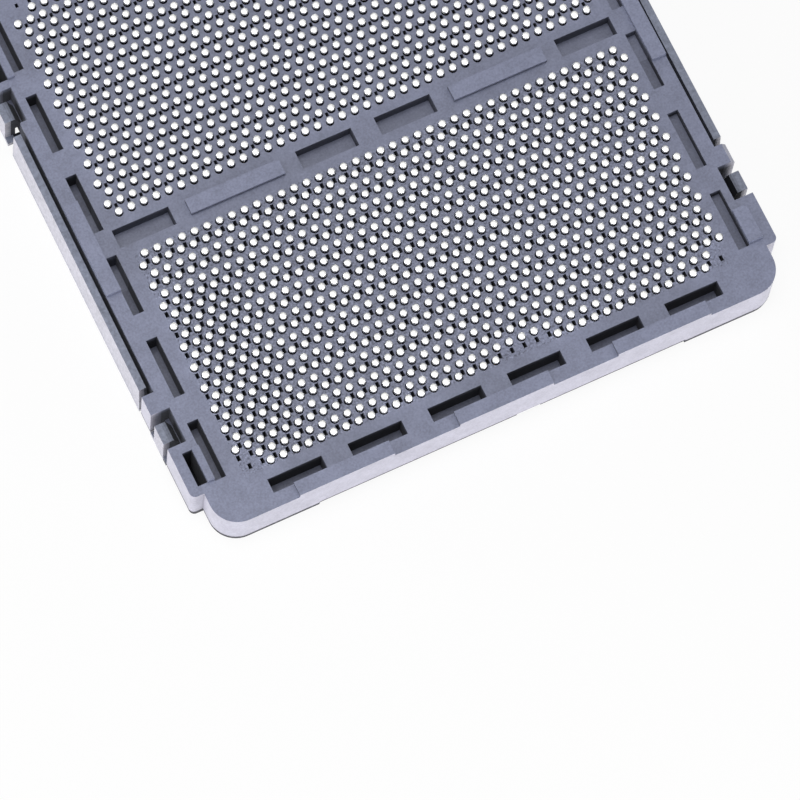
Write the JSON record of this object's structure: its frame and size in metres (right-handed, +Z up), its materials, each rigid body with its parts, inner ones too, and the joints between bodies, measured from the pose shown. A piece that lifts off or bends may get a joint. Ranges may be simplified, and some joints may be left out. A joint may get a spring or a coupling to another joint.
{
  "type": "land grid array processor socket",
  "caption": "Surface-mount land grid array socket, solder side up, with rows of solder balls in two fields on a moulded housing and a flat clip-on cover below.",
  "frame": {"origin": "middle of the outline on the cover's flat outer face, which the socket rests on", "axes": "+X along the contact rows, +Y across them away from the edge with the finger notch, +Z up out of the solder side"},
  "size_m": [0.0444, 0.044, 0.0042],
  "materials": {
    "housing_plastic": "fine matt, blue grey",
    "cover_plastic": "matt with a coarse grain, grey",
    "contact_metal": "gold-plated copper alloy",
    "solder": "bright tin alloy"
  },
  "bodies": {
    "root": {"housing": "housing_plastic", "pick_and_place_cover": "cover_plastic", "contacts_front": "contact_metal", "contacts_rear": "contact_metal", "solder_balls_front": "solder", "solder_balls_rear": "solder"}
  },
  "joints": []
}
